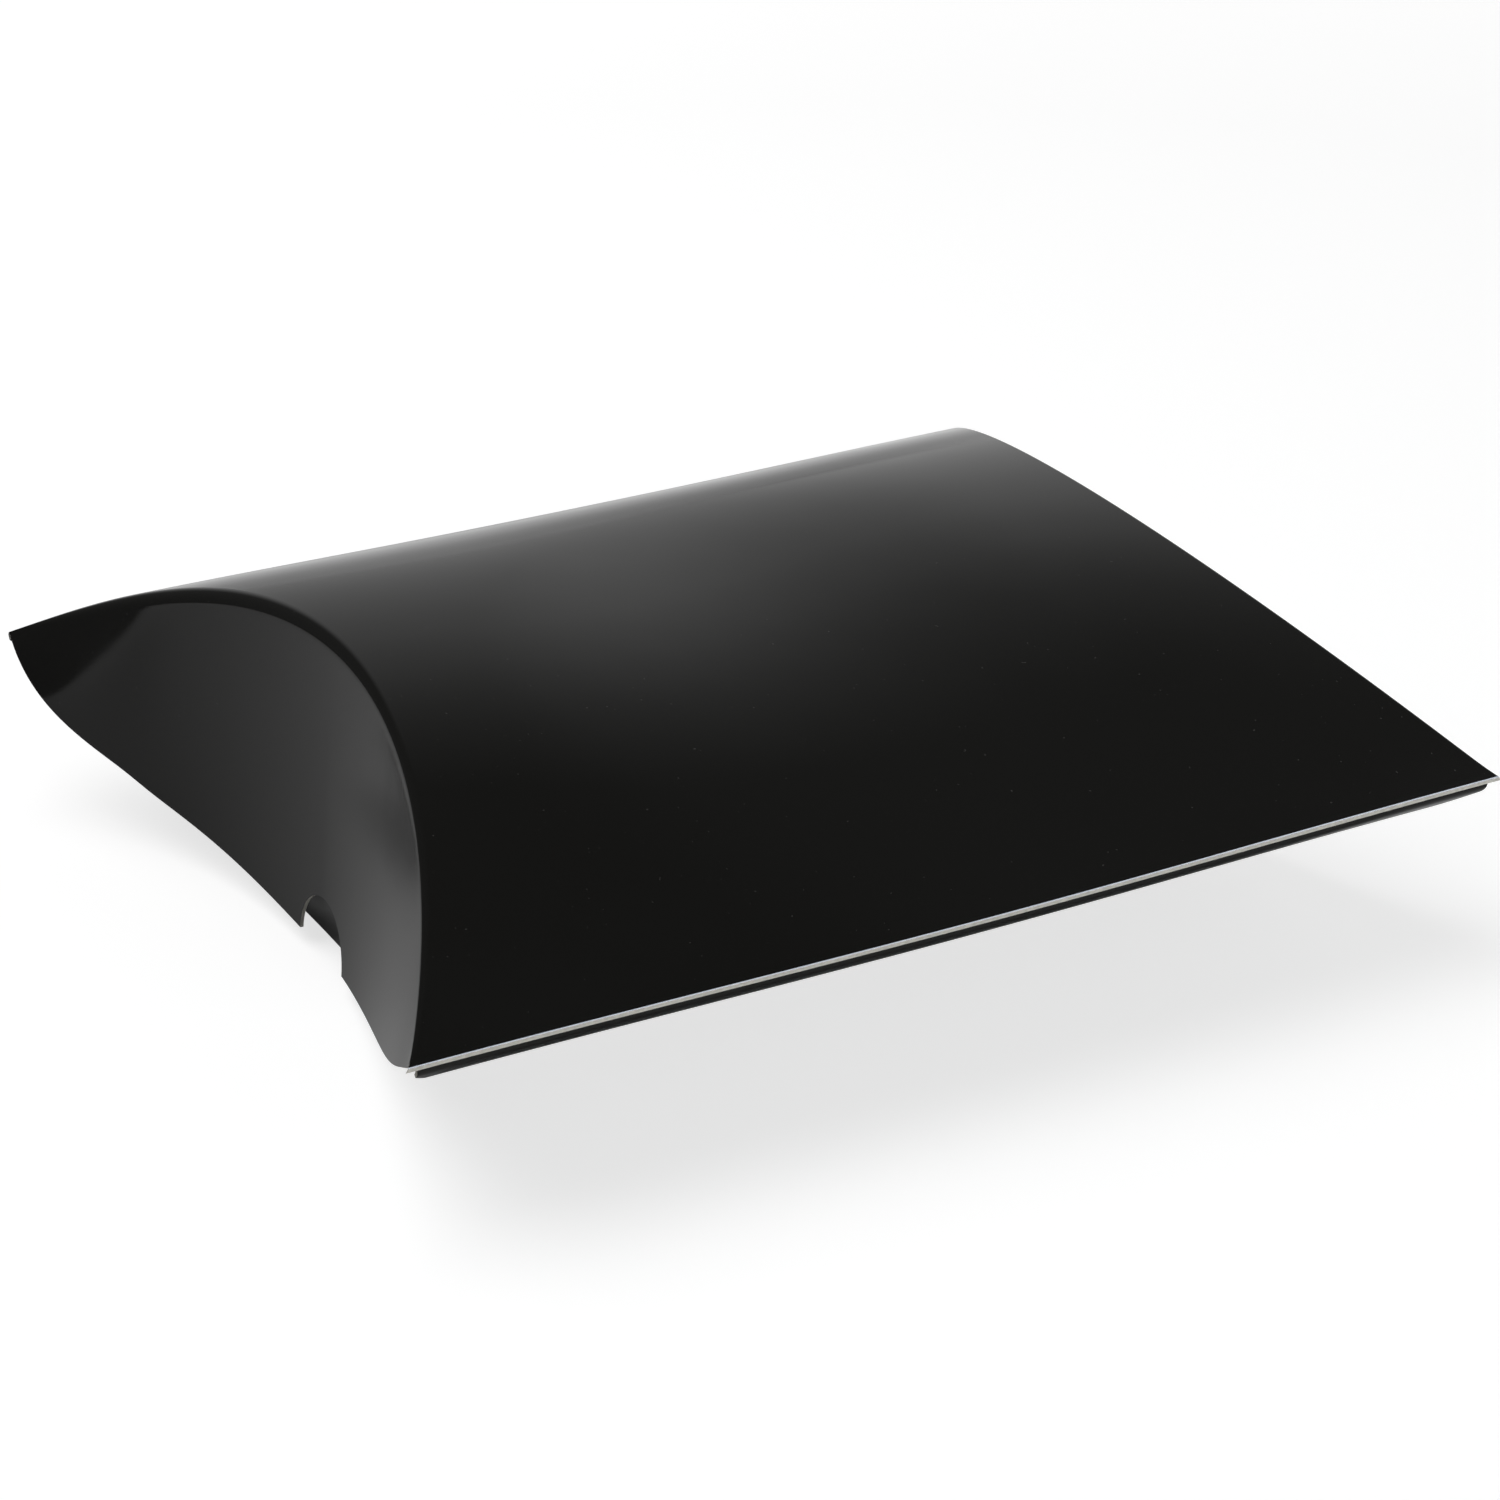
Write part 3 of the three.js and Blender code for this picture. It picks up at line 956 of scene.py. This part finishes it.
def make_floor():
    """A large flat sheet at the level the box lies on."""
    corners = [(x * FLOOR_HALF, y * FLOOR_HALF, 0) for x, y in ((-1, -1), (1, -1), (1, 1), (-1, 1))]
    mesh = bpy.data.meshes.new("studio_floor")
    mesh.from_pydata(corners, [], [(0, 1, 2, 3)])
    mesh.materials.append(node_material("studio_floor_paper", dress_floor))
    floor = bpy.data.objects.new("studio_floor", mesh)
    bpy.context.scene.collection.objects.link(floor)


def studio_world():
    """A grey backdrop that fades upwards and grows to the right, a dark left side, white for the camera."""
    look = finish()
    world = bpy.data.worlds.new("studio_world")
    world.use_nodes = True
    tree = world.node_tree
    _, x, _, z = place_and_parts(tree, "Generated")
    backdrop = product(tree, levels(tree, z, BACKDROP_LEVELS), ramp(tree, x, BRIGHTER_X, BRIGHTER))
    room = mix_colour(tree, ramp(tree, x, DARK_X, (0, 1)), look.dark_side, backdrop)
    seen = mix_colour(tree, ray_is(tree, "Camera"), room, look.glow)
    tree.links.new(seen, tree.nodes["Background"].inputs["Color"])
    return world


def add_lamp(name, place, target, size, power):
    """A square lamp at place, turned to target."""
    data = bpy.data.lights.new(name, "AREA")
    data.energy = power
    data.size = size
    lamp = bpy.data.objects.new(name, data)
    bpy.context.scene.collection.objects.link(lamp)
    lamp.location = place
    lamp.rotation_euler = (Vector(target) - Vector(place)).to_track_quat("-Z", "Y").to_euler()
    return lamp


def make_lamps(stage):
    """A wide key, and two lamps for the front edge."""
    key = add_lamp("key_lamp", place=(-0.35, 0.25, 0.85), target=(0, 0, 0), size=0.9, power=stage.key_power)
    key.visible_glossy = False
    gleam = add_lamp(
        "gleam_lamp", place=(0.38, -0.65, 0.48), target=(0, 0, 0), size=0.6, power=stage.gleam_power
    )
    gleam.data.color = finish().gleam
    gleam.visible_diffuse = False
    front = add_lamp(
        "front_lamp", place=(0.15, -0.9, 0.12), target=(0, 0, 0.02), size=0.2, power=stage.front_power
    )
    front.visible_glossy = False


def make_camera(stage):
    """The photograph's view: its place, aim and focal length on a 36 mm frame."""
    data = bpy.data.cameras.new("photo_camera")
    data.lens = stage.lens
    data.sensor_width = 36
    data.clip_start = 0.01
    camera = bpy.data.objects.new("photo_camera", data)
    bpy.context.scene.collection.objects.link(camera)
    turn = Vector(stage.camera_aim).to_track_quat("-Z", "Y").to_matrix().to_4x4()
    camera.matrix_world = Matrix.Translation(stage.camera_place) @ turn
    bpy.context.scene.camera = camera


class PILLOWBOX_OT_stage(CartonOperator, bpy.types.Operator):
    """Make the pale floor, the soft light and the photograph's camera"""

    bl_idname = "pillow_box.stage"
    bl_label = "Stage"

    def execute(self, context):
        scene = context.scene
        scene.view_settings.view_transform = "Standard"
        scene.world = studio_world()
        make_floor()
        make_lamps(scene.pillow_box_stage)
        make_camera(scene.pillow_box_stage)
        return {"FINISHED"}


# Panel and registration


class PILLOWBOX_PT_sidebar(bpy.types.Panel):
    """Lists the steps that build the carton"""

    bl_idname = "PILLOWBOX_PT_sidebar"
    bl_label = "Pillow Box"
    bl_space_type = "VIEW_3D"
    bl_region_type = "UI"
    bl_category = "Pillow Box"

    def draw(self, context):
        for step in STEPS:
            self.layout.operator(step.bl_idname)


STEPS = (
    PILLOWBOX_OT_stage,
    PILLOWBOX_OT_panels,
    PILLOWBOX_OT_folds,
    PILLOWBOX_OT_seam,
    PILLOWBOX_OT_outer_flaps,
    PILLOWBOX_OT_inner_flaps,
)
GROUPS = (PillowBoxSizes, PillowBoxFinish, PillowBoxStage)
CLASSES = (*GROUPS, *STEPS, PILLOWBOX_PT_sidebar)


def register():
    for item in CLASSES:
        bpy.utils.register_class(item)
    bpy.types.Scene.pillow_box_sizes = PointerProperty(type=PillowBoxSizes)
    bpy.types.Scene.pillow_box_finish = PointerProperty(type=PillowBoxFinish)
    bpy.types.Scene.pillow_box_stage = PointerProperty(type=PillowBoxStage)


def unregister():
    for name in ("pillow_box_sizes", "pillow_box_finish", "pillow_box_stage"):
        delattr(bpy.types.Scene, name)
    for item in reversed(CLASSES):
        bpy.utils.unregister_class(item)


def main():
    register()
    bpy.ops.pillow_box.stage()
    bpy.ops.pillow_box.panels()
    bpy.ops.pillow_box.folds()
    bpy.ops.pillow_box.seam()
    bpy.ops.pillow_box.outer_flaps()
    bpy.ops.pillow_box.inner_flaps()


if __name__ == "__main__":
    main()
